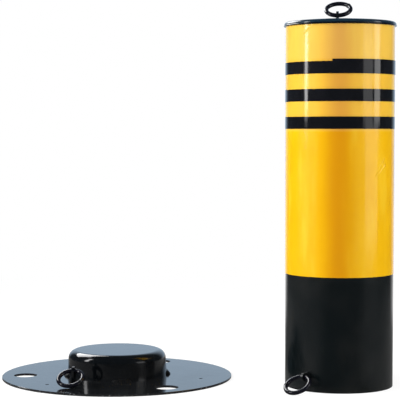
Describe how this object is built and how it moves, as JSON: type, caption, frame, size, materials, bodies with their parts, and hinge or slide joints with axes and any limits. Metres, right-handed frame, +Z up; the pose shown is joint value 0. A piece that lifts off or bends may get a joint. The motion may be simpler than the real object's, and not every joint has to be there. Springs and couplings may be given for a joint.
{
  "type": "removable safety bollard",
  "caption": "Removable round steel safety bollard in yellow with black bands, a capped top with a lifting ring, and its round floor base with a locating cup, set down beside it.",
  "frame": {"origin": "centre of the base plate's underside, on the floor, at the middle of its anchor circle", "axes": "+Z up; +X from the base towards the post that stands beside it; -Y is the front, as pictured"},
  "size_m": [0.5198, 0.308, 0.5001],
  "materials": {
    "black_enamel": "satin black enamel on steel",
    "yellow_film": "glossy amber yellow reflective film",
    "black_film": "glossy black film",
    "navy_enamel": "glossy blue-black enamel on pressed steel",
    "ring_enamel": "glossy black enamel on round wire",
    "gloss_enamel": "high gloss black enamel on steel",
    "painted_weld": "glossy black enamel over rippled weld"
  },
  "bodies": {
    "post_and_base": {"post_tube": "black_enamel", "yellow_film": "yellow_film", "black_band_top": "black_film", "black_band_middle": "black_film", "black_band_lower": "black_film", "top_cap": "navy_enamel", "lift_lug": "black_enamel", "lift_lug_welds": "painted_weld", "post_lug": "black_enamel", "post_lug_welds": "painted_weld", "base_flange": "gloss_enamel", "base_cup": "gloss_enamel", "cup_welds": "painted_weld", "base_lug": "gloss_enamel", "base_lug_welds": "painted_weld"},
    "lifting_ring": {"lift_ring": "ring_enamel"},
    "post_ring": {"post_lock_ring": "ring_enamel"},
    "base_ring": {"base_lock_ring": "ring_enamel"}
  },
  "joints": [
    {"name": "lift_ring_hinge", "type": "hinge", "parent": "post_and_base", "child": "lifting_ring", "pos_m": [0.2895, -0.062, 0.48014], "axis": [0.9848, -0.1736, 0], "range_deg": [-38, 152]},
    {"name": "post_ring_hinge", "type": "hinge", "parent": "post_and_base", "child": "post_ring", "pos_m": [0.24328, -0.12125, 0.01974], "axis": [-0.766, 0.6428, 0], "range_deg": [0, 128]},
    {"name": "base_ring_hinge", "type": "hinge", "parent": "post_and_base", "child": "base_ring", "pos_m": [-0.05167, -0.08268, 0.02135], "axis": [-0.9781, 0.2079, 0], "range_deg": [0, 176]}
  ]
}
